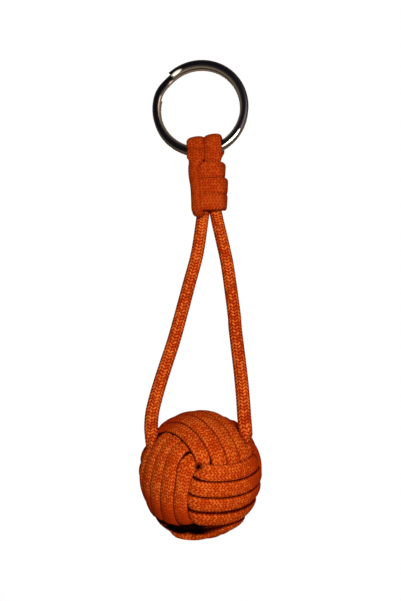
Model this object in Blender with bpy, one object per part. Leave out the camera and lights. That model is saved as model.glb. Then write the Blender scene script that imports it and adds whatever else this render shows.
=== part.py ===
"""Monkey's fist key fob: a steel ball covered by a five-turn monkey's fist of cord, hung by two
legs from a whipped collar, and two bights of the same cord looped over a steel split ring.

Blender 4.5, metres, +Z up. The fob hangs in the XZ plane and is seen from -Y. The origin is the
inner top of the split ring, where a hook or a bigger ring holds it.
"""

import math

import bmesh
import bpy
from mathutils import Euler, Matrix, Vector

MM = 0.001
CLEARANCE = 0.3 * MM
TURN = 2 * math.pi

# Split ring: flat wire wound twice, one coil lying on the other
RING_OUTER_DIAMETER = 30.0 * MM
RING_WIRE_WIDTH = 2.3 * MM
RING_WIRE_THICKNESS = 1.2 * MM
RING_WIRE_CHAMFER = 0.3 * MM
RING_COIL_GAP = 0.1 * MM
RING_END_ANGLE = math.radians(135)
RING_RAMP_ANGLE = math.radians(30)
RING_END_SLACK = math.radians(3)
RING_STEPS_PER_TURN = 48

# Cord, and the steel ball inside the knot
CORD_DIAMETER = 4.1 * MM
CORE_DIAMETER = 25.4 * MM

# Monkey's fist: three passes of five turns, each outside one pass and inside the other
FIST_DROP = 125.6 * MM
FIST_TILT = (math.radians(-155.7), math.radians(-65.4), math.radians(-65.6))
FIST_TURNS = 5
STRAND_THICKNESS = 2.75 * MM
STRAND_GAP = 0.2 * MM
FACE_PITCH = 4.45 * MM
CORNER_PITCH = 3.5 * MM
DIVE_START = math.radians(38)
DIVE_END = math.radians(55)
DIVE_SQUEEZE = 0.1
SHIFT_START = math.radians(240)
SHIFT_SPAN = math.radians(60)
PASS_END = math.radians(260)
FIST_SAG = 1.3 * MM
SAG_EDGE = math.radians(70)
SAG_FULL = math.radians(10)
FIRST_PASS_START = math.radians(40)
SECOND_PASS_START = math.radians(-80)
THIRD_PASS_START = math.radians(-26)

# Hitch: two bights over the ring, whipped together below it
BIGHT_SHIFT = 1.7 * MM
BIGHT_PITCH = 5.3 * MM
BIGHT_THICKNESS = 2.2 * MM
BIGHT_ARC_STEPS = 10
BIGHT_RUN_STEPS = 18
FRONT_NECK_BOTTOM = -31.5 * MM
BACK_NECK_BOTTOM = -30.6 * MM
NECK_HEIGHT = 4.8 * MM
CORE_STRAND_DIAMETER = 2.9 * MM
COLLAR_SHIFT = 2.9 * MM
COLLAR_TOP = -29.0 * MM
COLLAR_BOTTOM = -46.2 * MM
WRAP_BOTTOM = -44.5 * MM
WRAP_THICKNESS = 2.0 * MM
WRAP_PITCH = 4.6 * MM
WRAP_GAP = 0.2 * MM
WRAP_SQUARENESS = 3.2
WRAP_STEPS_PER_TURN = 28
WRAP_START = math.radians(-118)
WRAP_TOP_FLARE = 0.8 * MM
WRAP_FLARE_BOTTOM = -36.5 * MM
WRAP_FLARE_HEIGHT = 5.5 * MM
LOCK_WIDTH = 3.6 * MM
LOCK_THICKNESS = 2.1 * MM
TUCK_DEPTH = 5.6 * MM

# Legs: routes chosen by eye, from the hitch down to the knot, in millimetres
LEG_STEPS = 26
LEFT_LEG_ROUTE = (
    (-0.95, -0.6, -58.7),
    (-3.35, -1.3, -68.2),
    (-5.75, -2.2, -77.8),
    (-7.85, -3.1, -85.9),
    (-10.0, -4.0, -92.9),
    (-12.05, -4.9, -99.8),
    (-13.75, -5.8, -106.8),
    (-14.1, -6.5, -111.5),
    (-13.9, -7.2, -115.0),
)
RIGHT_LEG_ROUTE = (
    (6.6, -0.4, -54.0),
    (8.2, -0.8, -61.2),
    (9.35, -1.4, -68.4),
    (10.7, -2.3, -78.1),
    (11.1, -2.8, -82.7),
    (12.7, -4.2, -94.9),
    (13.6, -5.8, -102.5),
    (14.3, -7.3, -109.6),
    (14.9, -8.2, -113.7),
)
LEFT_LEG_TOP_X = 0.5 * MM
RIGHT_LEG_TOP_X = 5.3 * MM

CORD_ORANGE = (0.62, 0.11, 0.012, 1)
STEEL_GREY = (0.55, 0.53, 0.5, 1)

# Sizes that follow from the driving ones
RING_MID_RADIUS = (RING_OUTER_DIAMETER - RING_WIRE_WIDTH) / 2
RING_INNER_RADIUS = RING_OUTER_DIAMETER / 2 - RING_WIRE_WIDTH
RING_CENTRE = Vector((0, 0, -RING_INNER_RADIUS))
RING_HALF_DEPTH = RING_WIRE_THICKNESS + RING_COIL_GAP / 2
INNER_STRAND_RADIUS = CORE_DIAMETER / 2 + CLEARANCE + STRAND_THICKNESS / 2
OUTER_STRAND_RADIUS = INNER_STRAND_RADIUS + STRAND_THICKNESS + CLEARANCE
BIGHT_WIDTH = BIGHT_PITCH - CLEARANCE
BIGHT_REACH = BIGHT_PITCH / 2 + BIGHT_WIDTH / 2
RING_SAG = BIGHT_REACH**2 / (2 * RING_MID_RADIUS)
PIVOT_LIFT = 0.35 * RING_SAG
WIRE_CORNER = math.hypot(
    RING_WIRE_WIDTH / 2, RING_HALF_DEPTH - RING_WIRE_CHAMFER
)
BIGHT_INNER_RADIUS = WIRE_CORNER + RING_SAG - PIVOT_LIFT + CLEARANCE
BIGHT_RADIUS = BIGHT_INNER_RADIUS + BIGHT_THICKNESS / 2
CORE_STRAND_PITCH = CORE_STRAND_DIAMETER + STRAND_GAP
WRAP_HALF_WIDTH = CORE_STRAND_PITCH / 2 + CORE_STRAND_DIAMETER / 2 + CLEARANCE + WRAP_THICKNESS / 2
LEG_PIVOT_Z = COLLAR_BOTTOM - CLEARANCE - CORD_DIAMETER / 2
HITCH_TILT = math.asin(BIGHT_SHIFT / RING_MID_RADIUS)
FIST_DOWN = Euler(FIST_TILT).to_matrix().inverted() @ Vector((0, 0, -1))


def ease(share):
    """A smooth step from 0 to 1."""
    share = min(max(share, 0.0), 1.0)
    return share * share * (3 - 2 * share)


def mix(a, b, share):
    return a + (b - a) * share


def millimetres(points):
    return [Vector(point) * MM for point in points]


def along_route(points, count):
    """Points at equal steps along a smooth curve through the route's own points."""
    ends = [2 * points[0] - points[1], *points, 2 * points[-1] - points[-2]]
    fine = []
    for a, b, c, d in zip(ends, ends[1:], ends[2:], ends[3:]):
        for step in range(12):
            t = step / 12
            fine.append(
                0.5 * (2 * b + (c - a) * t + (2 * a - 5 * b + 4 * c - d) * t**2 + (3 * b - a - 3 * c + d) * t**3)
            )
    fine.append(points[-1].copy())
    travelled = [0.0]
    for a, b in zip(fine, fine[1:]):
        travelled.append(travelled[-1] + (b - a).length)
    even, at = [], 0
    for step in range(count):
        goal = travelled[-1] * step / (count - 1)
        while at < len(fine) - 2 and travelled[at + 1] < goal:
            at += 1
        share = (goal - travelled[at]) / (travelled[at + 1] - travelled[at])
        even.append(fine[at].lerp(fine[at + 1], share))
    return even


def principled(name, colour, roughness, metallic):
    material = bpy.data.materials.new(name)
    material.use_nodes = True
    shader = material.node_tree.nodes["Principled BSDF"]
    shader.inputs["Base Color"].default_value = colour
    shader.inputs["Roughness"].default_value = roughness
    shader.inputs["Metallic"].default_value = metallic
    material.diffuse_color = colour
    return material


def add_object(name, data, material, collection, parent=None):
    obj = bpy.data.objects.new(name, data)
    data.materials.append(material)
    collection.objects.link(obj)
    obj.parent = parent
    return obj


def empty(name, location, rotation, collection):
    obj = bpy.data.objects.new(name, None)
    obj.empty_display_size = 5 * MM
    obj.location = location
    obj.rotation_euler = rotation
    collection.objects.link(obj)
    return obj


def octagon(half_width, half_thickness):
    """An eight-sided section whose flats lie at the two half sizes."""
    corner = 1 / math.cos(math.pi / 8)
    return [
        (half_width * corner * math.cos(turn), half_thickness * corner * math.sin(turn))
        for turn in (TURN * (side + 0.5) / 8 for side in range(8))
    ]


def chamfered_flat(half_width, half_thickness, chamfer):
    """The section of flat wire with its four corners taken off."""
    near_width, near_thickness = half_width - chamfer, half_thickness - chamfer
    return [
        (half_width, -near_thickness),
        (half_width, near_thickness),
        (near_width, half_thickness),
        (-near_width, half_thickness),
        (-half_width, near_thickness),
        (-half_width, -near_thickness),
        (-near_width, -half_thickness),
        (near_width, -half_thickness),
    ]


def loft(name, stations, material, collection, parent=None):
    """A solid through unlike sections. A station is a centre, the way the strand's flat side
    faces, and the section's points across and outwards."""
    centres = [station[0] for station in stations]
    mesh = bmesh.new()
    rings = []
    for number, (centre, outward, section) in enumerate(stations):
        before = centres[max(number - 1, 0)]
        after = centres[min(number + 1, len(centres) - 1)]
        forward = (after - before).normalized()
        across = forward.cross(outward).normalized()
        up = across.cross(forward)
        rings.append([mesh.verts.new(centre + across * x + up * y) for x, y in section])
    for ring, following in zip(rings, rings[1:]):
        for side in range(len(ring)):
            following_side = (side + 1) % len(ring)
            mesh.faces.new((ring[side], ring[following_side], following[following_side], following[side]))
    mesh.faces.new(list(reversed(rings[0])))
    mesh.faces.new(rings[-1])
    bmesh.ops.recalc_face_normals(mesh, faces=mesh.faces)
    data = bpy.data.meshes.new(name)
    mesh.to_mesh(data)
    mesh.free()
    data.shade_smooth()
    data.set_sharp_from_angle(angle=math.radians(50))
    return add_object(name, data, material, collection, parent)


def split_ring(material, collection):
    """Two turns of flat wire: the front coil, a ramp between the two coils, and the back coil."""
    layer = (RING_WIRE_THICKNESS + RING_COIL_GAP) / 2
    total = 2 * TURN - RING_RAMP_ANGLE - 2 * RING_END_SLACK
    steps = round(total / TURN * RING_STEPS_PER_TURN)
    section = chamfered_flat(RING_WIRE_WIDTH / 2, RING_WIRE_THICKNESS / 2, RING_WIRE_CHAMFER)
    stations = []
    for step in range(steps + 1):
        wound = RING_END_SLACK + total * step / steps
        ramp = ease((wound - TURN + RING_RAMP_ANGLE) / RING_RAMP_ANGLE)
        angle = RING_END_ANGLE - wound
        out = Vector((math.cos(angle), 0, math.sin(angle)))
        centre = out * RING_MID_RADIUS + Vector((0, mix(-layer, layer, ramp), 0))
        stations.append((centre, Vector((0, -1, 0)), section))
    ring = loft("split_ring", stations, material, collection)
    ring.location = RING_CENTRE
    return ring


def core_ball(material, collection, parent):
    mesh = bmesh.new()
    bmesh.ops.create_uvsphere(mesh, u_segments=24, v_segments=14, radius=CORE_DIAMETER / 2)
    data = bpy.data.meshes.new("core_ball")
    mesh.to_mesh(data)
    mesh.free()
    data.shade_smooth()
    return add_object("core_ball", data, material, collection, parent)


def quarter_stations():
    """Angles from the middle of an outer face to the middle of an inner one, closest where the
    strand dives under its neighbours."""
    outer = [DIVE_START * step / 2 for step in range(2)]
    dive = [mix(DIVE_START, DIVE_END, step / 5) for step in range(5)]
    inner = [mix(DIVE_END, math.pi / 2, step / 2) for step in range(2)]
    return outer + dive + inner


def pass_angles(start, end):
    """The angles of a whole pass, from start to end."""
    quarter = quarter_stations()
    angles = []
    for number in range(math.floor(start / (math.pi / 2)), math.ceil(end / (math.pi / 2))):
        low = number * math.pi / 2
        if number % 2 == 0:
            angles += [low + angle for angle in quarter]
        else:
            angles += [low] + [low + math.pi / 2 - angle for angle in reversed(quarter[1:])]
    spare = math.radians(1.5)
    return [start] + [angle for angle in angles if start + spare < angle < end - spare] + [end]


def strand_place(face, along, across, angle, direction):
    """Centre, outward direction, half width and half thickness of a pass at an angle along it."""
    from_face = abs((angle + math.pi / 2) % math.pi - math.pi / 2)
    dive = ease((from_face - DIVE_START) / (DIVE_END - DIVE_START))
    radius = mix(OUTER_STRAND_RADIUS, INNER_STRAND_RADIUS, dive)
    pitch = mix(FACE_PITCH, CORNER_PITCH, ease(from_face / DIVE_START))
    shares = [(angle - turn * TURN - SHIFT_START) / SHIFT_SPAN for turn in range(FIST_TURNS - 1)]
    offset = (sum(ease(share) for share in shares) - (FIST_TURNS - 1) / 2) * pitch
    ray = face * math.cos(angle) + along * math.sin(angle) * direction
    centre = ray * math.sqrt(radius**2 - offset**2) + across * offset
    lowness = centre.dot(FIST_DOWN) / radius
    sag_range = math.cos(SAG_FULL) - math.cos(SAG_EDGE)
    sag_share = min(max((lowness - math.cos(SAG_EDGE)) / sag_range, 0), 1)
    sag_slope = FIST_SAG * 6 * sag_share * (1 - sag_share) / sag_range / radius
    outward = centre.normalized() * (1 + sag_slope * lowness) - FIST_DOWN * sag_slope
    centre *= 1 + FIST_SAG * ease(sag_share) / radius
    slope = sum(6 * share * (1 - share) for share in shares if 0 < share < 1) * pitch / SHIFT_SPAN / radius
    half_width = (pitch / math.hypot(1, slope) - STRAND_GAP) / 2
    squeeze = 1 - DIVE_SQUEEZE * 4 * dive * (1 - dive)
    return centre, outward, half_width, squeeze * STRAND_THICKNESS / 2


def fist_pass(name, axes, start, direction, material, collection, parent):
    """Five turns of cord round the ball: over one pass at its faces, under the other between
    them, and moving on by one strand where it is hidden."""
    end = (FIST_TURNS - 1) * TURN + PASS_END
    stations = []
    for angle in pass_angles(start, end):
        centre, outward, half_width, half_thickness = strand_place(*axes, angle, direction)
        stations.append((centre, outward, octagon(half_width, half_thickness)))
    return loft(name, stations, material, collection, parent)


def over_ring(across, turn, radius):
    """A point round the wire of the ring, in the part's own frame. At turn 0 it is in front of
    the wire, at a quarter turn above it."""
    frame = Matrix.Rotation(-HITCH_TILT, 3, "Y")
    pivot = RING_CENTRE - frame @ Vector((0, 0, RING_MID_RADIUS - PIVOT_LIFT))
    return pivot + frame @ Vector((across, -radius * math.cos(turn), radius * math.sin(turn)))


def bight(name, side, front_run, back_run, front_section, material, collection):
    """A hairpin of cord over the ring's wire. Its two runs go down into the collar."""
    across = side * BIGHT_PITCH / 2
    hub = over_ring(across, 0, 0)
    arc = [
        over_ring(across, math.pi * step / BIGHT_ARC_STEPS, BIGHT_RADIUS)
        for step in range(BIGHT_ARC_STEPS + 1)
    ]
    front = along_route([*millimetres(front_run), arc[0]], BIGHT_RUN_STEPS)[:-1]
    back = along_route([arc[-1], *millimetres(back_run)], BIGHT_RUN_STEPS)[1:]
    stations = []
    for centre in front:
        free = ease((centre.z - FRONT_NECK_BOTTOM) / NECK_HEIGHT)
        half_width = mix(front_section[0] / 2, BIGHT_WIDTH / 2, free)
        half_thickness = mix(front_section[1] / 2, BIGHT_THICKNESS / 2, free)
        outward = Vector((mix(front_section[2], 0, free), -1, 0))
        stations.append((centre, outward, octagon(half_width, half_thickness)))
    for centre in arc:
        stations.append((centre, centre - hub, octagon(BIGHT_WIDTH / 2, BIGHT_THICKNESS / 2)))
    for centre in back:
        free = ease((centre.z - BACK_NECK_BOTTOM) / NECK_HEIGHT)
        half_width = mix(CORE_STRAND_DIAMETER / 2, BIGHT_WIDTH / 2, free)
        half_thickness = mix(CORE_STRAND_DIAMETER / 2, BIGHT_THICKNESS / 2, free)
        stations.append((centre, Vector((0, 1, 0)), octagon(half_width, half_thickness)))
    return loft(name, stations, material, collection)


def collar_wrap(material, collection):
    """Nearly three turns of flattened cord round the strands of the collar."""
    half_height = (WRAP_PITCH - WRAP_GAP) / 2
    rise = COLLAR_TOP - WRAP_BOTTOM - 2 * half_height
    turns = rise / WRAP_PITCH
    steps = round(turns * WRAP_STEPS_PER_TURN)
    power = 2 / WRAP_SQUARENESS
    stations = []
    for step in range(steps + 1):
        z = WRAP_BOTTOM + half_height + rise * step / steps
        angle = WRAP_START + TURN * turns * step / steps
        flare = WRAP_TOP_FLARE * ease((z - WRAP_FLARE_BOTTOM) / WRAP_FLARE_HEIGHT)
        cos, sin = math.cos(angle), math.sin(angle)
        x = math.copysign(abs(cos) ** power, cos) * WRAP_HALF_WIDTH
        y = math.copysign(abs(sin) ** power, sin) * (WRAP_HALF_WIDTH + flare)
        outward = Vector((x, y, 0)).normalized()
        section = octagon(half_height, WRAP_THICKNESS / 2)
        stations.append((Vector((COLLAR_SHIFT + x, y, z)), outward, section))
    return loft("collar_wrap", stations, material, collection)


def tucked_strand(material, collection):
    """The left leg's way up inside the collar, to the wraps."""
    x = COLLAR_SHIFT - CORE_STRAND_PITCH / 2
    y = -CORE_STRAND_PITCH / 2
    section = octagon(CORE_STRAND_DIAMETER / 2, CORE_STRAND_DIAMETER / 2)
    heights = [mix(COLLAR_BOTTOM, COLLAR_TOP - TUCK_DEPTH, step / 6) for step in range(7)]
    stations = [(Vector((x, y, z)), Vector((0, -1, 0)), section) for z in heights]
    return loft("tucked_strand", stations, material, collection)


def leg(name, top_x, route, material, collection, parent):
    """A free stretch of cord. Both ends are round, and the top one is centred on the line that
    the legs swing about."""
    top = Vector((top_x, 0, LEG_PIVOT_Z))
    line = along_route([top, *millimetres(route)], LEG_STEPS)
    domes = [(math.sin(turn), math.cos(turn)) for turn in (math.radians(a) for a in (86, 60, 30))]
    up = (line[0] - line[1]).normalized()
    down = (line[-1] - line[-2]).normalized()
    half = CORD_DIAMETER / 2
    points = [(line[0] + up * half * far, near) for far, near in domes]
    points += [(point, 1.0) for point in line]
    points += [(line[-1] + down * half * far, near) for far, near in reversed(domes)]
    data = bpy.data.curves.new(name, "CURVE")
    data.dimensions = "3D"
    data.bevel_depth = half
    data.bevel_resolution = 3
    data.use_fill_caps = True
    spline = data.splines.new("POLY")
    spline.points.add(len(points) - 1)
    for point, (place, radius) in zip(spline.points, points):
        point.co = (*(place - parent.location), 1)
        point.radius = radius
    return add_object(name, data, material, collection, parent)


def main():
    for obj in list(bpy.data.objects):
        bpy.data.objects.remove(obj, do_unlink=True)
    fob = bpy.data.collections.new("monkey_fist_fob")
    bpy.context.scene.collection.children.link(fob)
    cord = principled("orange_cord", CORD_ORANGE, 0.75, 0)
    nickel = principled("nickel_steel", STEEL_GREY, 0.2, 1)
    bearing = principled("core_steel", STEEL_GREY, 0.35, 1)

    split_ring(nickel, fob)

    collar_x = COLLAR_SHIFT / MM
    lane = CORE_STRAND_PITCH / MM / 2
    bottom = COLLAR_BOTTOM / MM
    right_front = (
        (collar_x + lane, -lane, bottom),
        (collar_x + lane, -lane, -35.0),
        (4.3, -1.6, -33.0),
        (4.15, -1.95, -31.3),
        (4.15, -2.5, -29.8),
        (4.25, -3.1, -28.4),
        (4.35, -3.45, -27.2),
    )
    right_back = (
        (4.35, 3.5, -27.2),
        (4.35, 3.2, -28.4),
        (4.35, 2.6, -29.8),
        (4.3, 2.05, -31.3),
        (4.4, 1.6, -33.0),
        (collar_x + lane, lane, -35.0),
        (collar_x + lane, lane, bottom),
    )
    left_back = (
        (-0.85, 3.6, -27.2),
        (-0.3, 3.35, -28.4),
        (0.55, 2.75, -29.8),
        (1.0, 2.1, -31.3),
        (1.25, 1.65, -33.0),
        (collar_x - lane, lane, -35.0),
        (collar_x - lane, lane, bottom),
    )
    left_front = (
        (0.2, -6.4, bottom),
        (0.1, -6.45, -42.0),
        (0.0, -6.5, -38.5),
        (-0.2, -6.7, -35.0),
        (-0.45, -7.0, -32.5),
        (-0.65, -6.7, -30.5),
        (-0.85, -5.4, -28.6),
    )
    inner = (CORE_STRAND_DIAMETER, CORE_STRAND_DIAMETER, 0)
    bight("right_bight", 1, right_front, right_back, inner, cord, fob)
    bight("left_bight", -1, left_front, left_back, (LOCK_WIDTH, LOCK_THICKNESS, -0.3), cord, fob)
    tucked_strand(cord, fob)
    collar_wrap(cord, fob)

    leg_pivot = empty("leg_pivot", (COLLAR_SHIFT, 0, LEG_PIVOT_Z), (0, 0, 0), fob)
    leg("left_leg", LEFT_LEG_TOP_X, LEFT_LEG_ROUTE, cord, fob, leg_pivot)
    leg("right_leg", RIGHT_LEG_TOP_X, RIGHT_LEG_ROUTE, cord, fob, leg_pivot)

    fist = empty("fist_frame", (0, 0, -FIST_DROP), FIST_TILT, fob)
    core_ball(bearing, fob, fist)
    x, y, z = Vector((1, 0, 0)), Vector((0, 1, 0)), Vector((0, 0, 1))
    fist_pass("first_pass", (x, z, y), FIRST_PASS_START, 1, cord, fob, fist)
    fist_pass("second_pass", (z, y, x), SECOND_PASS_START, 1, cord, fob, fist)
    fist_pass("third_pass", (y, x, z), THIRD_PASS_START, -1, cord, fob, fist)


main()
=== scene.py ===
"""Looks of the monkey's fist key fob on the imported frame: woven cord for the knot, the legs, the
bights and the collar, and dark nickel for the split ring."""

import itertools
import math

import bmesh
import bpy
from mathutils import Euler, Matrix, Vector


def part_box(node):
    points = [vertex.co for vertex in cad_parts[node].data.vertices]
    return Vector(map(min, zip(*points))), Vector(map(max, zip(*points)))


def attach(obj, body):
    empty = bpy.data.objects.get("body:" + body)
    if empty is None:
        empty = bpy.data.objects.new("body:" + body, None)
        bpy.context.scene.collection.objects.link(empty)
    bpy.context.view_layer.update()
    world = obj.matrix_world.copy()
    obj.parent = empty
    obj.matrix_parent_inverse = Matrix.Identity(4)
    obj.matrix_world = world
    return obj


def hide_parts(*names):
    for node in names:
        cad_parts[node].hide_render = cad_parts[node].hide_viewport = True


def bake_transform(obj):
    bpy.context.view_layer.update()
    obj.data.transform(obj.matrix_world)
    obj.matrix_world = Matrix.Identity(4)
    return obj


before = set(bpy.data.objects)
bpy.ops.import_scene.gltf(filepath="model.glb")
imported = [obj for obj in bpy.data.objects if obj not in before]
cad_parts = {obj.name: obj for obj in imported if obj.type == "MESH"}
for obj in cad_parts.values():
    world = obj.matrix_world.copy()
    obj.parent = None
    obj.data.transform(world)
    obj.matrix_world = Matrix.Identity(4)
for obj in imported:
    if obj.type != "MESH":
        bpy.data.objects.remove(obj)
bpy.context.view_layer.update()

MM = 0.001
TURN = 2 * math.pi
X, Y, Z = Vector((1, 0, 0)), Vector((0, 1, 0)), Vector((0, 0, 1))
CURVE_STEPS = 12

# Camera: the picture's height, and the rows where the ring's and the ball's middles lie in it
PICTURE_HEIGHT = 601
RING_CENTRE_PY = 107.9
BALL_CENTRE_PY = 472.0
CAMERA_AZIMUTH = math.radians(8)
CAMERA_ELEVATION = math.radians(-6)
CAMERA_DISTANCE = 420 * MM
SENSOR_SIZE = 36.0
AIM_ROUNDS = 40

# Strands of cord
CORD_DIAMETER = 4.1 * MM
STRAND_SIDES = 20
# How closely the next strands touch its two sides, where nothing else is said
FULL_TOUCH = (1, 1)

# Woven sheath: columns of slanted floats round the cord, which grow calm where it is pulled smooth and
# darker there with painted shade
FLOAT_SLANT = 0.7
FLOAT_CROWN = 0.6
COLUMN_EDGE_POWER = 4.0
COLUMN_EDGE_DROP = 0.55
# How unevenly the floats lie along the cord
LAG_SCALE = 420.0
LAG_DETAIL = 1.0
LAG = 0.7
# How much the tone varies from float to float, and in soft clouds
SPECKLE = 0.45
CLOUD_SCALE = 140.0
CLOUD_DETAIL = 3.0
CLOUDS = 0.5
TONE_STOPS = (0.3, 0.7, 1.0)
CALM_SHADED_TONE = 0.34
CALM_FLATTENING = 0.7
# Where the painted shade on the cord's sides starts and is full, as a cosine round the cord, and on its
# underside, as a sine
SIDE_START, SIDE_FULL = 0.92, 0.98
UNDERSIDE_START, UNDERSIDE_FULL = 0.45, 0.2
# A side in painted shade loses its green and its blue faster than its red
SHADE_POWERS = (1, 1.5, 1.7)
# Painted shade in the pits at the eyes, where strands dive under their cover, in the gap over the loose
# strand and on the bends, where little light gets in
SHADE_START, SHADE_FULL = 0.15, 0.7
SHADE_TINT = (0.02, 0.01, 0.01)
NO_TINT = (1.0, 1.0, 1.0)
CORD_ROUGHNESS = 0.5
# Each cord's tones, from the gaps between its floats, darker as painted shade, to their tops
LEG_TONES = (0.24, 0.011, 0.0008), (0.41, 0.037, 0.0025), (0.63, 0.115, 0.014)
FIST_TONES = (0.29, 0.017, 0.001), (0.42, 0.038, 0.0025), (0.57, 0.105, 0.012)
COLLAR_TONES = (0.235, 0.013, 0.001), (0.305, 0.027, 0.0022), (0.385, 0.049, 0.0045)

# Steel: how its scuffs vary, and the painted reflections on the plate, dark on the wire's flat faces and
# bright along its rims
SCUFF_SCALE = 400.0
SCUFF_DETAIL = 4.0
DARK_REFLECTION_NICKEL = (0.008, 0.007, 0.012)
REFLECTION_STOPS = ((0.45, (0.004, 0.0035, 0.005)), (0.78, (0.03, 0.023, 0.017)), (0.96, (0.15, 0.11, 0.08)))
NICKEL_EDGE_TINT = (0.3, 0.26, 0.22, 1)
# The hidden ball's steel, darkened as painted shade
SHADED_BALL_COLOUR = (0.12, 0.11, 0.1)
# Painted highlights on the wire's face: how far along it, half length, how far across, half width
PAINTED_HIGHLIGHTS = ((1.9 * MM, 2.4 * MM, 0.4, 0.48), (43.6 * MM, 4.6 * MM, -0.45, 0.3))
HIGHLIGHT_CORE = 0.2
HIGHLIGHT_COLOUR = (0.6, 0.55, 0.43, 1)
# A mix node's colour sockets, which share their names with its other sockets
MIX_COLOUR_A, MIX_COLOUR_B, MIX_COLOUR_RESULT = 6, 7, 2

# The monkey's fist
CORE_RADIUS = 12.7 * MM
FIST_TILT = (math.radians(-155.7), math.radians(-65.4), math.radians(-65.6))
FIST_AXES = Euler(FIST_TILT).to_matrix()
FIST_DOWN = FIST_AXES.inverted() @ Vector((0, 0, -1))
FIST_TURNS = 5
FIST_STEP = math.radians(2.5)
LAYER_GAP = 0.3 * MM
STRAND_THICKNESS = 2.75 * MM
INNER_STRAND_RADIUS = CORE_RADIUS + LAYER_GAP + STRAND_THICKNESS / 2
OUTER_STRAND_RADIUS = INNER_STRAND_RADIUS + STRAND_THICKNESS + LAYER_GAP
# Each turn moves on to the next place where it is hidden, and the last one ends there
SHIFT_START = math.radians(240)
SHIFT_SPAN = math.radians(60)
PASS_END = math.radians(260)
# How far a strand runs while it dives under the band that covers it
DIVE_LENGTH = 3.6 * MM
# A band's outer edges are trimmed, and its outer turns, on smaller circles, are crowded wider
EDGE_TRIM = 0.45 * MM
CROWDING = -0.3
# The eyes between the three bands, pressed in and darkened with painted shade
EYE_DEPTH = 3.6 * MM
EYE_SIZE = 1.0 * MM
# The shade where a strand dives under the band that covers it
TUCK_START = 0.25
TUCK_SPEED = 3
TUCK_SHARE = 0.5
# The bend at the end of a face, where the strand is rounder, its sheath is pulled smooth and painted
# shade darkens it
BEND_START = math.radians(4)
BEND_SPAN = math.radians(25)
BEND_END = math.radians(85)
BEND_FADE = math.radians(20)
BENT_SQUARENESS = 2.2
CALM_SHARE = 0.65
# The fan of strands at the other end of a face. Its scale makes its widest lean about 1.
FAN_START = math.radians(5)
FAN_SPAN = math.radians(30)
FAN_SCALE = 9.8
# The strands that hang slack under the ball
FIST_SAG = 1.3 * MM
SAG_EDGE = math.radians(70)
SAG_FULL = math.radians(10)
SAG_WIDENING = 0.3
# The one loose strand, and the painted shade in the gap above it and on its side that faces the gap
LOOSE_ANGLE = math.radians(60)
LOOSE_SPAN = math.radians(62)
LOOSE_DROP = 2.3 * MM
LOOSE_REACH = 7.0 * MM
LOOSE_SIDE = 0.4
LOOSE_SIDE_FADE = 0.8
GAP_ACROSS = -12.4 * MM
GAP_HALF_WIDTH = 1.4 * MM
GAP_FADE = 0.5

# Legs: their routes in millimetres from the collar down to the knot, and their heads in the collar
LEFT_LEG_ROUTE = (
    (0.5, 0.0, -48.55),
    (-0.95, -0.6, -58.7),
    (-3.35, -1.3, -68.2),
    (-5.75, -2.2, -77.8),
    (-7.85, -3.1, -85.9),
    (-10.0, -4.0, -92.9),
    (-12.05, -4.9, -99.8),
    (-13.75, -5.8, -106.8),
    (-14.1, -6.6, -111.5),
    (-13.8, -7.5, -115.2),
)
RIGHT_LEG_ROUTE = (
    (5.3, 0.0, -48.55),
    (6.6, -0.4, -54.0),
    (8.2, -0.8, -61.2),
    (9.35, -1.4, -68.4),
    (10.7, -2.3, -78.1),
    (11.1, -2.8, -82.7),
    (12.7, -4.2, -94.9),
    (13.6, -5.8, -102.5),
    (14.2, -6.9, -109.6),
    (14.5, -6.8, -113.4),
)
LEFT_LEG_HEAD = ((1.35, -1.55, -42.0), (1.1, -1.0, -45.0))
RIGHT_LEG_HEAD = ((4.45, -1.55, -42.0), (4.7, -0.9, -45.0))
LEG_RINGS = 110
LEG_FLATTENED_RINGS = 10
# Sizes at a leg's top and foot as shares of the cord's, and at its end as a share of its pass's
LEG_TOP_SIZE = 0.95
LEG_FOOT_SIZE = 1.04
LEG_END = 0.95
# Where a leg runs on inside the start of its pass
LEG_OVERLAP = (math.radians(0), math.radians(5), math.radians(10))
ROUND = 2.0

# Hitch: two bights over the ring's wire, and the collar whipped round them and the legs
RING_MID_RADIUS = 13.85 * MM
BIGHT_SHIFT = 1.7 * MM
BIGHT_PITCH = 5.3 * MM
BIGHT_WIDTH = 5.6 * MM
BIGHT_THICKNESS = 2.3 * MM
BIGHT_SQUARENESS = 2.3
BIGHT_RADIUS = 3.5 * MM
BIGHT_ARC_STEPS = 24
BIGHT_RUN_STEPS = 40
PIVOT_LIFT = 0.335 * MM
HITCH_TILT = math.asin(BIGHT_SHIFT / RING_MID_RADIUS)
FRONT_NECK_BOTTOM = -32.2 * MM
BACK_NECK_BOTTOM = -28.8 * MM
NECK_HEIGHT = 2.6 * MM
CORE_STRAND_DIAMETER = 3.0 * MM
CORE_STRAND_SIZE = (CORE_STRAND_DIAMETER, CORE_STRAND_DIAMETER)
LOCK_SIZE = (3.8 * MM, 2.3 * MM)
LOCK_LEAN = -0.8
TUCKED_SQUARENESS = 2.2
TUCKED_RINGS = 12
COLLAR_SHIFT = 2.9 * MM
COLLAR_TOP = -28.95 * MM
WRAP_BOTTOM = -46.1 * MM
WRAP_HALF_WIDTH = 4.5 * MM
WRAP_WAIST = 0.9 * MM
WRAP_MIDDLE = -39.0 * MM
WRAP_REACH = 6.5 * MM
WRAP_LEVEL = 0.8
WRAP_THICKNESS = 2.2 * MM
WRAP_HALF_HEIGHT = 2.62 * MM
WRAP_PITCH = 4.9 * MM
WRAP_ROUTE_SQUARENESS = 3.2
WRAP_SQUARENESS = 3.6
WRAP_STEPS_PER_TURN = 80
WRAP_START = math.radians(-118)
WRAP_TOP_FLARE = 0.8 * MM
WRAP_FLARE_BOTTOM = -36.5 * MM
WRAP_FLARE_HEIGHT = 5.5 * MM

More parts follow.
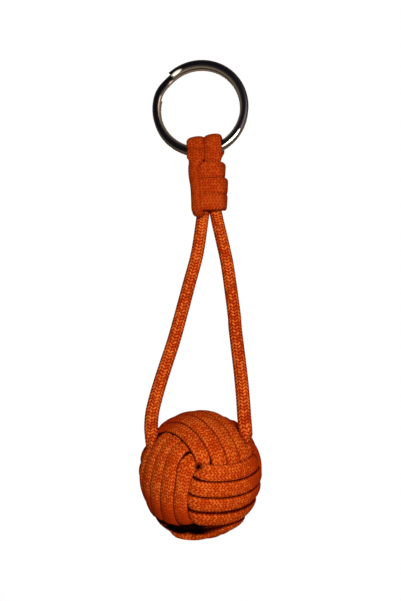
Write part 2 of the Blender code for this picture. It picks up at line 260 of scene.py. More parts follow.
# The hitch's routes in millimetres, from below on the front and from above on the back
RIGHT_FRONT = (
    (4.45, -1.55, -46.0),
    (4.45, -1.55, -35.0),
    (4.4, -1.6, -33.0),
    (4.2, -2.5, -31.8),
    (4.25, -3.2, -30.6),
    (4.3, -3.5, -29.0),
    (4.35, -3.5, -27.2),
)
RIGHT_BACK = (
    (4.35, 3.5, -27.2),
    (4.35, 3.2, -28.4),
    (4.35, 2.6, -29.8),
    (4.3, 2.05, -31.3),
    (4.4, 1.6, -33.0),
    (4.45, 1.55, -35.0),
    (4.45, 1.55, -46.0),
)
LEFT_BACK = (
    (-0.85, 3.6, -27.2),
    (-0.3, 3.35, -28.4),
    (0.55, 2.75, -29.8),
    (1.0, 2.1, -31.3),
    (1.25, 1.65, -33.0),
    (1.35, 1.55, -35.0),
    (1.35, 1.55, -46.0),
)
LEFT_FRONT = (
    (0.0, -2.0, -46.3),
    (-0.2, -3.0, -46.5),
    (-0.35, -3.8, -46.2),
    (-0.6, -4.4, -45.4),
    (-0.65, -4.6, -44.2),
    (-0.7, -4.65, -42.0),
    (-0.9, -4.75, -38.5),
    (-1.4, -5.1, -35.0),
    (-1.4, -5.5, -32.5),
    (-0.8, -5.9, -30.5),
    (-0.7, -5.4, -28.6),
)
TUCKED_ROUTE = (
    (1.35, -1.55, -42.0),
    (1.35, -1.55, -38.0),
    (1.35, -1.55, -34.6),
)

# Split ring: the front coil, a ramp between the two coils, and the back coil, which hangs lower
RING_WIRE_WIDTH = 2.6 * MM
RING_WIRE_THICKNESS = 1.22 * MM
RING_WIRE_SQUARENESS = 2.8
RING_COIL_GAP = 0.08 * MM
RING_END_ANGLE = math.radians(135)
RING_RAMP_ANGLE = math.radians(30)
RING_END_SLACK = math.radians(3)
COIL_DROP = 0.47 * MM
COIL_DROP_ANGLE = math.radians(75)
COIL_SHRINK = 0.13 * MM
RING_STEPS = 240

# Floor, light and background
FLOOR_Z = -0.45
FLOOR_RADIUS = 0.6
FLOOR_SEGMENTS = 96
FLOOR_COLOUR = (0.7, 0.7, 0.7, 1)
FLOOR_ROUGHNESS = 0.9
FLOOR_GLOW = 0.6
WHITE = (1, 1, 1, 1)
AMBIENT = 0.1
LAMP_AIM = Vector((0, 0, -0.08))
# Each lamp's name, place, size and power
LAMPS = (
    ("key", (0.2, -0.74, 0.06), 0.25, 7.4),
    ("fill", (0.5, -0.4, -0.2), 0.15, 0.5),
    ("back", (-0.15, 0.85, 0.0), 0.4, 8.0),
)


def ease(share):
    """A smooth step from 0 to 1."""
    share = min(max(share, 0.0), 1.0)
    return share * share * (3 - 2 * share)


def mix(a, b, share):
    """The value that lies a share of the way from a to b."""
    return a + (b - a) * share


def millimetres(points):
    """A route's points, given in millimetres, as vectors in metres."""
    return [Vector(point) * MM for point in points]


def middle(node):
    """The middle of a solid's box."""
    low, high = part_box(node)
    return (low + high) / 2


BALL_CENTRE = middle("core_ball")
RING_CENTRE = Vector((0, 0, middle("split_ring").z))


def along_route(points, count):
    """Points at equal steps along a smooth curve through the route's own points."""
    ends = [2 * points[0] - points[1], *points, 2 * points[-1] - points[-2]]
    fine = []
    for a, b, c, d in zip(ends, ends[1:], ends[2:], ends[3:]):
        for step in range(CURVE_STEPS):
            t = step / CURVE_STEPS
            square = (2 * a - 5 * b + 4 * c - d) * t**2
            cube = (3 * b - a - 3 * c + d) * t**3
            fine.append(0.5 * (2 * b + (c - a) * t + square + cube))
    fine.append(points[-1].copy())
    travelled = [0.0]
    for a, b in zip(fine, fine[1:]):
        travelled.append(travelled[-1] + (b - a).length)
    even, at = [], 0
    for step in range(count):
        goal = travelled[-1] * step / (count - 1)
        while at < len(fine) - 2 and travelled[at + 1] < goal:
            at += 1
        share = (goal - travelled[at]) / (travelled[at + 1] - travelled[at])
        even.append(fine[at].lerp(fine[at + 1], share))
    return even


def add_camera():
    """The aim point and the lens put the ring's middle and the ball's middle on their rows."""
    top, bottom = RING_CENTRE.z, BALL_CENTRE.z
    rise, fall = PICTURE_HEIGHT / 2 - RING_CENTRE_PY, BALL_CENTRE_PY - PICTURE_HEIGHT / 2
    lean = -math.sin(CAMERA_ELEVATION) / CAMERA_DISTANCE
    above = (top - bottom) * rise / (rise + fall)
    for _ in range(AIM_ROUNDS):
        below = top - bottom - above
        scale_above = rise * (1 / above + lean)
        scale_below = fall * (1 / below - lean)
        above *= (scale_above / scale_below) ** 0.5
    focal = scale_above * CAMERA_DISTANCE / math.cos(CAMERA_ELEVATION)
    back = Vector((
        math.sin(CAMERA_AZIMUTH) * math.cos(CAMERA_ELEVATION),
        -math.cos(CAMERA_AZIMUTH) * math.cos(CAMERA_ELEVATION),
        math.sin(CAMERA_ELEVATION),
    ))
    data = bpy.data.cameras.new("camera")
    data.sensor_width = SENSOR_SIZE
    data.lens = focal / PICTURE_HEIGHT * SENSOR_SIZE
    camera = bpy.data.objects.new("camera", data)
    camera.location = Vector((0, 0, top - above)) + back * CAMERA_DISTANCE
    camera.rotation_euler = (-back).to_track_quat("-Z", "Y").to_euler()
    bpy.context.scene.collection.objects.link(camera)
    bpy.context.scene.camera = camera


add_camera()


def superellipse(half_width, half_thickness, power):
    """Points of a rounded section, and how far round it each lies, from 0 to 1."""
    points = []
    for side in range(STRAND_SIDES + 1):
        turn = TURN * (side + 0.5) / STRAND_SIDES
        cos, sin = math.cos(turn), math.sin(turn)
        x = math.copysign(abs(cos) ** (2 / power), cos) * half_width
        y = math.copysign(abs(sin) ** (2 / power), sin) * half_thickness
        points.append((x, y))
    walked = [0.0]
    for a, b in zip(points, points[1:]):
        walked.append(walked[-1] + math.dist(a, b))
    return points[:-1], [distance / walked[-1] for distance in walked]


def strand(name, stations, material, start=0.0):
    """A strand through its stations: a centre, the way its flat side faces, half width, half
    thickness, squareness, and how closely its two sides touch the next strands. Its UV map runs
    round the strand and along it in metres, and a second one holds that closeness."""
    centres = [station[0] for station in stations]
    mesh = bmesh.new()
    uv_layer = mesh.loops.layers.uv.new("cord")
    touch_layer = mesh.loops.layers.uv.new("touch")
    rings, rounds, touches, along = [], [], [], [start]
    for a, b in zip(centres, centres[1:]):
        along.append(along[-1] + (b - a).length)
    for number, (centre, outward, half_width, half_thickness, power, *touch) in enumerate(stations):
        before = centres[max(number - 1, 0)]
        after = centres[min(number + 1, len(centres) - 1)]
        forward = (after - before).normalized()
        across = forward.cross(outward).normalized()
        up = across.cross(forward)
        points, round_it = superellipse(half_width, half_thickness, power)
        rings.append([mesh.verts.new(centre + across * x + up * y) for x, y in points])
        rounds.append(round_it)
        touches.append(touch or FULL_TOUCH)
    for number in range(len(rings) - 1):
        low, high = rings[number], rings[number + 1]
        for side in range(STRAND_SIDES):
            following = (side + 1) % STRAND_SIDES
            face = mesh.faces.new((low[side], low[following], high[following], high[side]))
            face.smooth = True
            places = (
                (rounds[number][side], along[number]),
                (rounds[number][side + 1], along[number]),
                (rounds[number + 1][side + 1], along[number + 1]),
                (rounds[number + 1][side], along[number + 1]),
            )
            for loop, place in zip(face.loops, places):
                loop[uv_layer].uv = place
                loop[touch_layer].uv = touches[number]
    for ring in (list(reversed(rings[0])), rings[-1]):
        mesh.faces.new(ring)
    bmesh.ops.recalc_face_normals(mesh, faces=mesh.faces)
    data = bpy.data.meshes.new(name)
    mesh.to_mesh(data)
    mesh.free()
    data.materials.append(material)
    obj = bpy.data.objects.new(name, data)
    bpy.context.scene.collection.objects.link(obj)
    return obj


class Nodes:
    """Short calls for the node tree of a material or the world."""

    def __init__(self, owner):
        self.tree = owner.node_tree

    def put(self, node, name, value):
        """A link to a socket, or a constant on it."""
        socket = node.inputs[name]
        if isinstance(value, bpy.types.NodeSocket):
            self.tree.links.new(value, socket)
        else:
            socket.default_value = value

    def add(self, kind, **inputs):
        """A new node with a link or a constant on each input that is named."""
        node = self.tree.nodes.new(kind)
        for name, value in inputs.items():
            self.put(node, name, value)
        return node

    def maths(self, operation, *values):
        """The result of an operation on values."""
        node = self.tree.nodes.new("ShaderNodeMath")
        node.operation = operation
        for number, value in enumerate(values):
            self.put(node, number, value)
        return node.outputs[0]

    def ramp(self, value, *stops):
        """A colour that runs through its stops as the value rises."""
        node = self.tree.nodes.new("ShaderNodeValToRGB")
        self.put(node, "Fac", value)
        elements = node.color_ramp.elements
        while len(elements) < len(stops):
            elements.new(0.5)
        for element, (position, colour) in zip(elements, stops):
            element.position = position
            element.color = (*colour, 1)
        return node.outputs["Color"]

    def rise(self, value, start, full):
        """0 where the value is at its start, and 1 where it is full."""
        node = self.add("ShaderNodeMapRange", **{"Value": value, "From Min": start, "From Max": full})
        return node.outputs[0]

    def mixed(self, share, a, b):
        """The value that lies a share of the way from a to b."""
        return self.add("ShaderNodeMix", Factor=share, A=a, B=b).outputs[0]

    def mixed_colour(self, share, a, b):
        """The colour that lies a share of the way from a to b."""
        node = self.add("ShaderNodeMix", Factor=share)
        node.data_type = "RGBA"
        self.put(node, MIX_COLOUR_A, a)
        self.put(node, MIX_COLOUR_B, b)
        return node.outputs[MIX_COLOUR_RESULT]

    def tinted(self, colour, tint):
        """A colour times a tint."""
        node = self.tree.nodes.new("ShaderNodeVectorMath")
        node.operation = "MULTIPLY"
        self.put(node, 0, colour)
        self.put(node, 1, tint)
        return node.outputs[0]

    def noise(self, scale, detail):
        """Soft noise that stays with the piece."""
        solid = self.add("ShaderNodeTexCoord")
        node = self.add("ShaderNodeTexNoise", Vector=solid.outputs["Object"], Scale=scale, Detail=detail)
        return node.outputs["Fac"]

    def attribute(self, name):
        """A value that is held at each point of the mesh."""
        node = self.add("ShaderNodeAttribute")
        node.attribute_name = name
        return node.outputs["Fac"]

    def uv(self, name):
        """The two coordinates of a UV map."""
        place = self.add("ShaderNodeUVMap")
        place.uv_map = name
        split = self.add("ShaderNodeSeparateXYZ", Vector=place.outputs["UV"])
        return split.outputs["X"], split.outputs["Y"]


def new_material(name):
    """A material with short calls for its nodes, and its shader."""
    material = bpy.data.materials.new(name)
    material.use_nodes = True
    return material, Nodes(material), material.node_tree.nodes["Principled BSDF"]


def cord_material(name, tones, columns, float_length, depth, side_shade):
    """A braided sheath: floats slant one way and the other in turn, column by column, so that they meet
    as a row of vees along the cord. Its last argument is how dark the painted shade makes the cord's
    sides and underside."""
    material, nodes, shader = new_material(name)
    around, along = nodes.uv("cord")
    column = nodes.maths("MULTIPLY", around, float(columns))
    number = nodes.maths("FLOOR", column)
    from_middle = nodes.maths("SUBTRACT", nodes.maths("FRACT", column), 0.5)
    odd = nodes.maths("MODULO", number, 2.0)
    parity = nodes.maths("SUBTRACT", nodes.maths("MULTIPLY", odd, 2.0), 1.0)
    slant = nodes.maths("MULTIPLY", nodes.maths("MULTIPLY", parity, from_middle), FLOAT_SLANT)
    unevenness = nodes.maths("SUBTRACT", nodes.noise(LAG_SCALE, LAG_DETAIL), 0.5)
    lag = nodes.maths("MULTIPLY", unevenness, LAG)
    straight = nodes.maths("ADD", nodes.maths("DIVIDE", along, float_length), lag)
    phase = nodes.maths("ADD", straight, slant)
    ridge = nodes.maths("SINE", nodes.maths("MULTIPLY", nodes.maths("FRACT", phase), math.pi))
    to_edge = nodes.maths("ABSOLUTE", nodes.maths("MULTIPLY", from_middle, 2.0))
    edge = nodes.maths("MULTIPLY", nodes.maths("POWER", to_edge, COLUMN_EDGE_POWER), COLUMN_EDGE_DROP)
    column_crown = nodes.maths("SUBTRACT", 1.0, edge)
    height = nodes.maths("MULTIPLY", nodes.maths("POWER", ridge, FLOAT_CROWN), column_crown)

    cell = nodes.add("ShaderNodeCombineXYZ", X=number, Y=nodes.maths("FLOOR", phase), Z=0.0)
    speckle = nodes.add("ShaderNodeTexWhiteNoise", Vector=cell.outputs["Vector"]).outputs["Value"]
    # The tone follows the floats' height, so the gaps between them are darker as painted shade, and
    # varies at random from float to float
    tone = height
    for noise, share in ((speckle, SPECKLE), (nodes.noise(CLOUD_SCALE, CLOUD_DETAIL), CLOUDS)):
        change = nodes.maths("MULTIPLY", nodes.maths("SUBTRACT", noise, 0.5), share)
        tone = nodes.maths("ADD", tone, change)
    calm = nodes.attribute("calm")
    # Where calm, the tone is evened out and darkened as painted shade
    colour = nodes.ramp(nodes.mixed(calm, tone, CALM_SHADED_TONE), *zip(TONE_STOPS, tones))

    # Painted shade: the cord's sides go dark where they meet the next strands, and so does its underside
    round_it = nodes.maths("MULTIPLY", around, TURN)
    sideways = nodes.maths("COSINE", round_it)
    left_touch, right_touch = nodes.uv("touch")
    touching = nodes.mixed(nodes.maths("GREATER_THAN", sideways, 0.0), left_touch, right_touch)
    beside = nodes.rise(nodes.maths("ABSOLUTE", sideways), SIDE_START, SIDE_FULL)
    under = nodes.rise(nodes.maths("SINE", round_it), UNDERSIDE_START, UNDERSIDE_FULL)
    closed = nodes.maths("MULTIPLY", beside, nodes.maths("MAXIMUM", touching, under))
    side_shade_tint = tuple(side_shade**power for power in SHADE_POWERS)
    colour = nodes.tinted(colour, nodes.ramp(closed, (0.0, NO_TINT), (1.0, side_shade_tint)))
    # Painted shade held at each point of the mesh
    painted_shade = nodes.ramp(nodes.attribute("painted_shade"), (SHADE_START, NO_TINT), (SHADE_FULL, SHADE_TINT))
    nodes.put(shader, "Base Color", nodes.tinted(colour, painted_shade))

    woven = nodes.maths("SUBTRACT", 1.0, nodes.maths("MULTIPLY", calm, CALM_FLATTENING))
    relief = nodes.maths("MULTIPLY", height, woven)
    bump = nodes.add("ShaderNodeBump", Height=relief, Strength=1.0, Distance=depth)
    nodes.put(shader, "Normal", bump.outputs["Normal"])
    shader.inputs["Roughness"].default_value = CORD_ROUGHNESS
    shader.inputs["Specular IOR Level"].default_value = 0.0
    return material


# Each cord's last argument is the painted shade on its sides and underside
LEG_CORD = cord_material(
    "braided_cord", LEG_TONES, columns=12, float_length=1.0 * MM, depth=0.28 * MM, side_shade=0.45
)
FIST_CORD = cord_material(
    "knotted_cord", FIST_TONES, columns=16, float_length=1.0 * MM, depth=0.16 * MM, side_shade=0.12
)
COLLAR_CORD = cord_material(
    "pulled_cord", COLLAR_TONES, columns=14, float_length=0.8 * MM, depth=0.08 * MM, side_shade=0.85
)


def scuffed_steel(name, colour, roughness, spread):
    """Bare steel whose shine varies a little from place to place."""
    material, nodes, shader = new_material(name)
    shader.inputs["Base Color"].default_value = (*colour, 1)
    shader.inputs["Metallic"].default_value = 1.0
    scuffs = nodes.noise(SCUFF_SCALE, SCUFF_DETAIL)
    nodes.put(shader, "Roughness", nodes.maths("MULTIPLY_ADD", scuffs, spread, roughness - spread / 2))
    return material


def ring_steel():
    """Nickel plate with painted reflections: dark on the wire's flat faces and bright along its rims,
    with painted highlights at two places on its face.
    """
    material = scuffed_steel("nickel_painted_reflections", DARK_REFLECTION_NICKEL, roughness=0.24, spread=0.05)
    nodes = Nodes(material)
    shader = material.node_tree.nodes["Principled BSDF"]
    around, along = nodes.uv("cord")
    round_it = nodes.maths("MULTIPLY", around, TURN)
    inward = nodes.maths("COSINE", round_it)
    facing = nodes.maths("GREATER_THAN", nodes.maths("SINE", round_it), 0.0)
    # Painted reflections: dark on the flat faces, bright along the rims
    colour = nodes.ramp(nodes.maths("ABSOLUTE", inward), *REFLECTION_STOPS)
    # Painted highlights at two places on the wire's front face
    for middle_along, half_length, middle_across, half_width in PAINTED_HIGHLIGHTS:
        from_middle = nodes.maths("SUBTRACT", along, middle_along)
        lengthways = nodes.maths("POWER", nodes.maths("DIVIDE", from_middle, half_length), 2.0)
        aside = nodes.maths("SUBTRACT", inward, middle_across)
        crossways = nodes.maths("POWER", nodes.maths("DIVIDE", aside, half_width), 2.0)
        inside = nodes.rise(nodes.maths("ADD", lengthways, crossways), 1.0, HIGHLIGHT_CORE)
        colour = nodes.mixed_colour(nodes.maths("MULTIPLY", inside, facing), colour, HIGHLIGHT_COLOUR)
    nodes.put(shader, "Base Color", colour)
    shader.inputs["Specular Tint"].default_value = NICKEL_EDGE_TINT
    return material


RING_STEEL = ring_steel()
# The ball's steel, darkened as painted shade inside the knot
BALL_STEEL = scuffed_steel("ball_steel", SHADED_BALL_COLOUR, roughness=0.3, spread=0.3)


def from_face(angle):
    """The angle from the middle of the nearest outer face."""
    return (angle + math.pi / 2) % math.pi - math.pi / 2


class Band:
    """One pass of the fist. It is outermost on two opposite faces of the ball, and between them
    another band covers it."""

    def __init__(
        self, face, along, across, *, direction, start, shift, pitch,
        dive_margin, crease_shade, squareness, press, dull=0, fan=0, loose=False,
    ):
        # Its first face, the way it runs from there, the way its turns move on, and its sense
        self.face, self.along, self.across, self.direction = face, along, across, direction
        # Where it starts, how far its middle turn is from the ball's middle, and turn from turn
        self.start, self.shift, self.pitch = start, shift, pitch
        # How early it dives under its cover, and how dark the painted shade is in the creases between
        # its turns
        self.dive_margin, self.crease_shade = dive_margin, crease_shade
        # The turns' section, and how much wider than their pitch they are
        self.squareness, self.press = squareness, press
        # How dark the painted shade on its bends is, how far it fans out, and whether its first turn
        # hangs loose
        self.dull, self.fan, self.loose = dull, fan, loose
        self.cover = None

    def slack(self, angle):
        """How loosely the strand hangs, from 0 to 1."""
        return max(0, 1 - ((angle - LOOSE_ANGLE) / LOOSE_SPAN) ** 2) ** 2 if self.loose else 0

    def shares(self, angle):
        """How far the strand has gone through each of its moves to the next place."""
        return [(angle - turn * TURN - SHIFT_START) / SHIFT_SPAN for turn in range(FIST_TURNS - 1)]

    def offset(self, level):
        """How far from the ball's middle the strand runs at a level, counted in turns."""
        return self.shift + (level - (FIST_TURNS - 1) / 2) * self.pitch

    def sunk(self, angle):
        """How far the strand has gone down under the band that covers it, from 0 to 1."""
        offset = self.offset(sum(ease(share) for share in self.shares(angle)))
        reach = math.sqrt(OUTER_STRAND_RADIUS**2 - offset**2) * math.cos(angle)
        beside = abs(reach - self.cover.shift) - self.cover.pitch * FIST_TURNS / 2
        return ease((self.dive_margin - beside - LOOSE_REACH * self.slack(angle)) / DIVE_LENGTH)

    def bent(self, angle):
        """How far the strand is into its bend over the end of a face, from 0 to 1."""
        past = -self.direction * from_face(angle)
        return ease((past - BEND_START) / BEND_SPAN) * ease((BEND_END - past) / BEND_FADE)

    def calm(self, angle):
        """How smooth the bend pulls the sheath, which also sets how much painted shade darkens it."""
        return CALM_SHARE * self.bent(angle)

    def fanned(self, level, angle):
        """How far an edge between two strands leans away from the eye near the end of a face."""
        share = min(max((FIST_TURNS - 0.5 - level) / FIST_TURNS, 0), 1)
        opened = ease((self.direction * from_face(angle) - FAN_START) / FAN_SPAN)
        return -self.fan * opened * FAN_SCALE * share * (1 - share) ** 3

    def station(self, angle):
        """One station, at an angle from the middle of the band's first outer face."""
        shares = self.shares(angle)
        level = sum(ease(share) for share in shares)
        first, last = max(0, 1 - level), max(0, level - FIST_TURNS + 2)
        first_trim, last_trim = EDGE_TRIM * first, 0 if self.loose else EDGE_TRIM * last
        fans = self.fanned(level - 0.5, angle), self.fanned(level + 0.5, angle)
        offset = self.offset(level) + (first_trim - last_trim + sum(fans) / 2)
        radius = mix(OUTER_STRAND_RADIUS, INNER_STRAND_RADIUS, self.sunk(angle))
        ray = self.face * math.cos(angle) + self.along * math.sin(angle) * self.direction
        place = ray * math.sqrt(radius**2 - offset**2) + self.across * offset
        outward = FIST_AXES @ place.normalized()

        # How steeply it crosses to its next place, which is the slope of the ease
        slope = sum(6 * share * (1 - share) for share in shares if 0 < share < 1)
        lean = math.hypot(1, slope * self.pitch / SHIFT_SPAN / radius)
        crowded = (1 - (offset / OUTER_STRAND_RADIUS) ** 2) ** CROWDING
        half_width = self.press * crowded * self.pitch / lean / 2
        half_width += (fans[1] - fans[0]) / 2 - first_trim - last_trim
        lowness = place.dot(FIST_DOWN) / radius
        hanging = (lowness - math.cos(SAG_EDGE)) / (math.cos(SAG_FULL) - math.cos(SAG_EDGE))
        sag = FIST_SAG * ease(hanging)
        half_width += SAG_WIDENING * sag
        place = place * (1 + sag / radius) + FIST_DOWN * LOOSE_DROP * self.slack(angle)

        forward = self.along * math.cos(angle) * self.direction - self.face * math.sin(angle)
        # Painted shade on the sides where a turn meets its neighbours
        sides = [self.crease_shade * (1 - first), self.crease_shade * (1 - last)]
        if forward.cross(ray).dot(self.across) < 0:
            sides.reverse()
        squareness = mix(self.squareness, BENT_SQUARENESS, self.bent(angle))
        centre = BALL_CENTRE + FIST_AXES @ place
        return centre, outward, half_width, STRAND_THICKNESS / 2, squareness, *sides


def eyes():
    """The eight ways out from the ball's middle where the edges of all three bands meet."""
    edges = {}
    for band in (FIRST_BAND, SECOND_BAND, THIRD_BAND):
        reach = band.pitch * FIST_TURNS / 2 - 2 * EDGE_TRIM
        edges[tuple(band.across)] = (band.shift - reach, band.shift + reach)
    corners = itertools.product(edges[tuple(X)], edges[tuple(Y)], edges[tuple(Z)])
    return [Vector(corner).normalized() for corner in corners]


def gap_over_loose_strand(place):
    """How dark the painted shade is on the ball where its one loose strand hangs away from it, from 0 to
    1.
    """
    place = FIST_AXES.inverted() @ place
    angle = math.atan2(place.dot(SECOND_BAND.along), place.dot(SECOND_BAND.face))
    aside = (place.dot(SECOND_BAND.across) - GAP_ACROSS) / GAP_HALF_WIDTH
    return SECOND_BAND.slack(angle) ** GAP_FADE * max(0, 1 - aside**2)


def loose_inner_side(band, angle, station, place):
    """How dark the painted shade is on the loose strand's side that faces the gap, from 0 to 1."""
    centre, _, half_width, *_ = station
    aside = (place - centre).dot(FIST_AXES @ band.across) / half_width
    return band.slack(angle) ** LOOSE_SIDE_FADE * ease(aside / LOOSE_SIDE)


def fist_pass(node, band):
    """A pass of the fist, pressed in at the eyes and dark where little light gets in."""
    end = (FIST_TURNS - 1) * TURN + PASS_END
    steps = math.ceil((end - band.start) / FIST_STEP)
    stations = [band.station(mix(band.start, end, step / steps)) for step in range(steps + 1)]
    piece = strand(node + "_cord", stations, FIST_CORD)
    painted_shade = piece.data.attributes.new("painted_shade", "FLOAT", "POINT")
    calm = piece.data.attributes.new("calm", "FLOAT", "POINT")
    for vertex in piece.data.vertices:
        number = vertex.index // STRAND_SIDES
        angle = mix(band.start, end, number / steps)
        out = (vertex.co - BALL_CENTRE).normalized()
        nearest = min((FIST_AXES @ eye - out).length for eye in EYES) * OUTER_STRAND_RADIUS
        # This share presses the eye in and also darkens it with painted shade
        eye_share = math.exp(-((nearest / EYE_SIZE) ** 2))
        tuck = TUCK_SHARE * ease((band.sunk(angle) - TUCK_START) * TUCK_SPEED)
        # Painted shade in the gap over the loose strand, and on the loose strand's side that faces it
        if band.slack(angle) > 0:
            gap = loose_inner_side(band, angle, stations[number], vertex.co)
        else:
            gap = gap_over_loose_strand(vertex.co - BALL_CENTRE)
        vertex.co -= out * EYE_DEPTH * eye_share
        # The painted shade here: at an eye, where it dives, at the loose strand's gap or on a bend
        painted_shade.data[vertex.index].value = max(eye_share, tuck, gap, band.dull * band.calm(angle))
        calm.data[vertex.index].value = band.calm(angle)
    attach(piece, "fist")
    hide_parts(node)


FIRST_BAND = Band(
    X, Z, Y, direction=1, start=math.radians(40), shift=1.07 * MM, pitch=4.34 * MM,
    dive_margin=1.0 * MM, crease_shade=0.35, squareness=3.6, press=1.12,
)
SECOND_BAND = Band(
    Z, Y, X, direction=1, start=math.radians(-80), shift=-1.84 * MM, pitch=4.6 * MM,
    dive_margin=1.2 * MM, crease_shade=0.9, squareness=2.6, press=1.06, dull=0.25, loose=True,
)
THIRD_BAND = Band(
    Y, X, Z, direction=-1, start=math.radians(-26), shift=0.84 * MM, pitch=4.38 * MM,
    dive_margin=0.6 * MM, crease_shade=0.75, squareness=2.6, press=1.06, dull=0.38, fan=1.6 * MM,
)
FIRST_BAND.cover, SECOND_BAND.cover, THIRD_BAND.cover = SECOND_BAND, THIRD_BAND, FIRST_BAND
EYES = eyes()
fist_pass("first_pass", FIRST_BAND)
fist_pass("second_pass", SECOND_BAND)
fist_pass("third_pass", THIRD_BAND)
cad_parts["core_ball"].data.materials.clear()
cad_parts["core_ball"].data.materials.append(BALL_STEEL)


def leg(node, head, route, band):
    """A leg runs from inside the collar down to the knot, and flows into the start of its pass."""
    knot_end = [band.station(band.start + angle) for angle in LEG_OVERLAP]
    line = along_route([*millimetres(head), *millimetres(route), knot_end[0][0]], LEG_RINGS)
    stations = []
    for number, centre in enumerate(line):
        down = ease((number - LEG_RINGS + LEG_FLATTENED_RINGS) / (LEG_FLATTENED_RINGS - 1))
        outward = Vector((0, -1, 0)).lerp(knot_end[0][1], down).normalized()
        half = CORD_DIAMETER / 2 * mix(LEG_TOP_SIZE, LEG_FOOT_SIZE, number / LEG_RINGS)
        half_width = mix(half, knot_end[0][2] * LEG_END, down)
        half_thickness = mix(half, knot_end[0][3] * LEG_END, down)
        stations.append((centre, outward, half_width, half_thickness, mix(ROUND, band.squareness, down)))
    for centre, outward, half_width, half_thickness, power, *_ in knot_end[1:]:
        stations.append((centre, outward, half_width * LEG_END, half_thickness * LEG_END, power))
    length = sum((b[0] - a[0]).length for a, b in zip(stations, stations[1:]))
    piece = strand(node + "_cord", stations, LEG_CORD, start=-length)
    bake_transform(piece)
    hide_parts(node)


leg("left_leg", LEFT_LEG_HEAD, LEFT_LEG_ROUTE, THIRD_BAND)
leg("right_leg", RIGHT_LEG_HEAD, RIGHT_LEG_ROUTE, FIRST_BAND)


def over_ring(across, turn, radius):
    """A point round the wire of the ring. At turn 0 it is in front of it, at a quarter turn above."""
    tilted = Matrix.Rotation(-HITCH_TILT, 3, "Y")
    pivot = RING_CENTRE - tilted @ Vector((0, 0, RING_MID_RADIUS - PIVOT_LIFT))
    return pivot + tilted @ Vector((across, -radius * math.cos(turn), radius * math.sin(turn)))


def hitch_piece(node, stations):
    """A strand of the hitch, which stands for its solid."""
    piece = strand(node + "_cord", stations, COLLAR_CORD)
    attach(piece, "hitch")
    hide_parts(node)


def bight(node, side, front_run, back_run, front_size, front_lean):
    """A flat strand that comes up the front of the collar, over the ring's wire and down behind
    it. Below its necks it takes the size that it has in the collar."""
    across = side * BIGHT_PITCH / 2
    hub = over_ring(across, 0, 0)
    arc = [
        over_ring(across, math.pi * step / BIGHT_ARC_STEPS, BIGHT_RADIUS)
        for step in range(BIGHT_ARC_STEPS + 1)
    ]
    front = along_route([*millimetres(front_run), arc[0]], BIGHT_RUN_STEPS)[:-1]
    back = along_route([arc[-1], *millimetres(back_run)], BIGHT_RUN_STEPS)[1:]
    stations = []
    for centre, following in zip(front, [*front[1:], arc[0]]):
        heading = (following - centre).normalized()
        free = ease((centre.z - FRONT_NECK_BOTTOM) / NECK_HEIGHT)
        half_width = mix(front_size[0] / 2, BIGHT_WIDTH / 2, free)
        half_thickness = mix(front_size[1] / 2, BIGHT_THICKNESS / 2, free)
        flat_side = Vector((mix(front_lean, 0, free), -1, 0)) * heading.z + Vector((0, 0, heading.y))
        stations.append((centre, flat_side, half_width, half_thickness, BIGHT_SQUARENESS))
    for centre in arc:
        stations.append((centre, centre - hub, BIGHT_WIDTH / 2, BIGHT_THICKNESS / 2, BIGHT_SQUARENESS))
    for centre in back:
        free = ease((centre.z - BACK_NECK_BOTTOM) / NECK_HEIGHT)
        half_width = mix(CORE_STRAND_DIAMETER / 2, BIGHT_WIDTH / 2, free)
        half_thickness = mix(CORE_STRAND_DIAMETER / 2, BIGHT_THICKNESS / 2, free)
        stations.append((centre, Vector((0, 1, 0)), half_width, half_thickness, BIGHT_SQUARENESS))
    hitch_piece(node, stations)


def collar_wrap():
    """Three turns of flattened cord, level in front and narrower at the collar's top and bottom."""
    half_height = WRAP_PITCH / 2
    rise = COLLAR_TOP - WRAP_BOTTOM - 2 * half_height
    turns = rise / WRAP_PITCH
    steps = round(turns * WRAP_STEPS_PER_TURN)
    power = 2 / WRAP_ROUTE_SQUARENESS
    stations = []
    for step in range(steps + 1):
        z = WRAP_BOTTOM + half_height + rise * step / steps
        angle = WRAP_START + TURN * turns * step / steps
        flare = WRAP_TOP_FLARE * ease((z - WRAP_FLARE_BOTTOM) / WRAP_FLARE_HEIGHT)
        cos, sin = math.cos(angle), math.sin(angle)
        z -= WRAP_LEVEL * WRAP_PITCH / TURN * cos
        wide = WRAP_HALF_WIDTH - WRAP_WAIST * ((z - WRAP_MIDDLE) / WRAP_REACH) ** 2
        x = math.copysign(abs(cos) ** power, cos) * wide
        y = math.copysign(abs(sin) ** power, sin) * (WRAP_HALF_WIDTH + flare)
        centre, outward = Vector((COLLAR_SHIFT + x, y, z)), Vector((x, y, 0)).normalized()
        stations.append((centre, outward, WRAP_HALF_HEIGHT, WRAP_THICKNESS / 2, WRAP_SQUARENESS))
    hitch_piece("collar_wrap", stations)


def tucked_strand():
    """A strand inside the collar, above the left leg's end."""
    half = CORE_STRAND_DIAMETER / 2
    line = along_route(millimetres(TUCKED_ROUTE), TUCKED_RINGS)
    stations = [(centre, Vector((0, -1, 0)), half, half, TUCKED_SQUARENESS) for centre in line]
    hitch_piece("tucked_strand", stations)


bight("right_bight", 1, RIGHT_FRONT, RIGHT_BACK, front_size=CORE_STRAND_SIZE, front_lean=0)
bight("left_bight", -1, LEFT_FRONT, LEFT_BACK, front_size=LOCK_SIZE, front_lean=LOCK_LEAN)
collar_wrap()
tucked_strand()


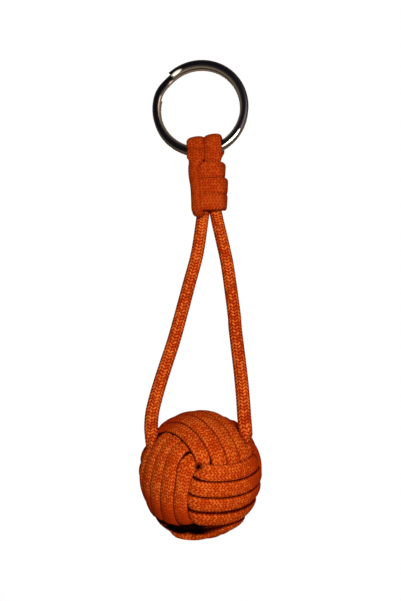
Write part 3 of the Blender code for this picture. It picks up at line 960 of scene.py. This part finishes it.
def split_ring():
    """Flat wire wound nearly twice round, with a ramp from the front coil to the back one."""
    layer = (RING_WIRE_THICKNESS + RING_COIL_GAP) / 2
    total = 2 * TURN - RING_RAMP_ANGLE - 2 * RING_END_SLACK
    half_width, half_thickness = RING_WIRE_WIDTH / 2, RING_WIRE_THICKNESS / 2
    stations = []
    for step in range(RING_STEPS + 1):
        wound = RING_END_SLACK + total * step / RING_STEPS
        ramp = ease((wound - TURN + RING_RAMP_ANGLE) / RING_RAMP_ANGLE)
        angle = RING_END_ANGLE - wound
        out = Vector((math.cos(angle), 0, math.sin(angle)))
        inward = ramp * (COIL_DROP * math.cos(angle - COIL_DROP_ANGLE) + COIL_SHRINK)
        backward = Vector((0, mix(-layer, layer, ramp), 0))
        centre = RING_CENTRE + out * (RING_MID_RADIUS - inward) + backward
        stations.append((centre, Vector((0, -1, 0)), half_width, half_thickness, RING_WIRE_SQUARENESS))
    piece = strand("split_ring_wire", stations, RING_STEEL)
    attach(piece, "ring")
    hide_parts("split_ring")


split_ring()


def add_floor():
    """A pale floor, which looks white to the camera and in the metal."""
    mesh = bmesh.new()
    bmesh.ops.create_circle(mesh, cap_ends=True, segments=FLOOR_SEGMENTS, radius=FLOOR_RADIUS)
    data = bpy.data.meshes.new("floor")
    mesh.to_mesh(data)
    mesh.free()
    floor = bpy.data.objects.new("floor", data)
    floor.location = (0, 0, FLOOR_Z)
    bpy.context.scene.collection.objects.link(floor)
    material, nodes, shader = new_material("pale_floor")
    shader.inputs["Base Color"].default_value = FLOOR_COLOUR
    shader.inputs["Roughness"].default_value = FLOOR_ROUGHNESS
    path = nodes.add("ShaderNodeLightPath")
    seen = nodes.maths("MAXIMUM", path.outputs["Is Camera Ray"], path.outputs["Is Glossy Ray"])
    shader.inputs["Emission Color"].default_value = WHITE
    nodes.put(shader, "Emission Strength", nodes.maths("MULTIPLY", seen, FLOOR_GLOW))
    data.materials.append(material)


def add_world():
    """White to the camera and in the metal, and a soft pale light on everything else."""
    world = bpy.data.worlds.new("studio")
    bpy.context.scene.world = world
    world.use_nodes = True
    nodes = Nodes(world)
    background = world.node_tree.nodes["Background"]
    path = nodes.add("ShaderNodeLightPath")
    clear = nodes.maths("MAXIMUM", path.outputs["Is Glossy Ray"], path.outputs["Is Transmission Ray"])
    seen = nodes.maths("MAXIMUM", path.outputs["Is Camera Ray"], clear)
    background.inputs["Color"].default_value = WHITE
    nodes.put(background, "Strength", nodes.maths("MULTIPLY_ADD", seen, 1 - AMBIENT, AMBIENT))


def add_lamp(name, place, size, power):
    """A square lamp that faces the fob."""
    data = bpy.data.lights.new(name, "AREA")
    data.shape = "SQUARE"
    data.size = size
    data.energy = power
    lamp = bpy.data.objects.new(name, data)
    lamp.location = place
    lamp.rotation_euler = (LAMP_AIM - Vector(place)).to_track_quat("-Z", "Y").to_euler()
    bpy.context.scene.collection.objects.link(lamp)


add_floor()
add_world()
for lamp in LAMPS:
    add_lamp(*lamp)
bpy.context.scene.view_settings.view_transform = "Standard"
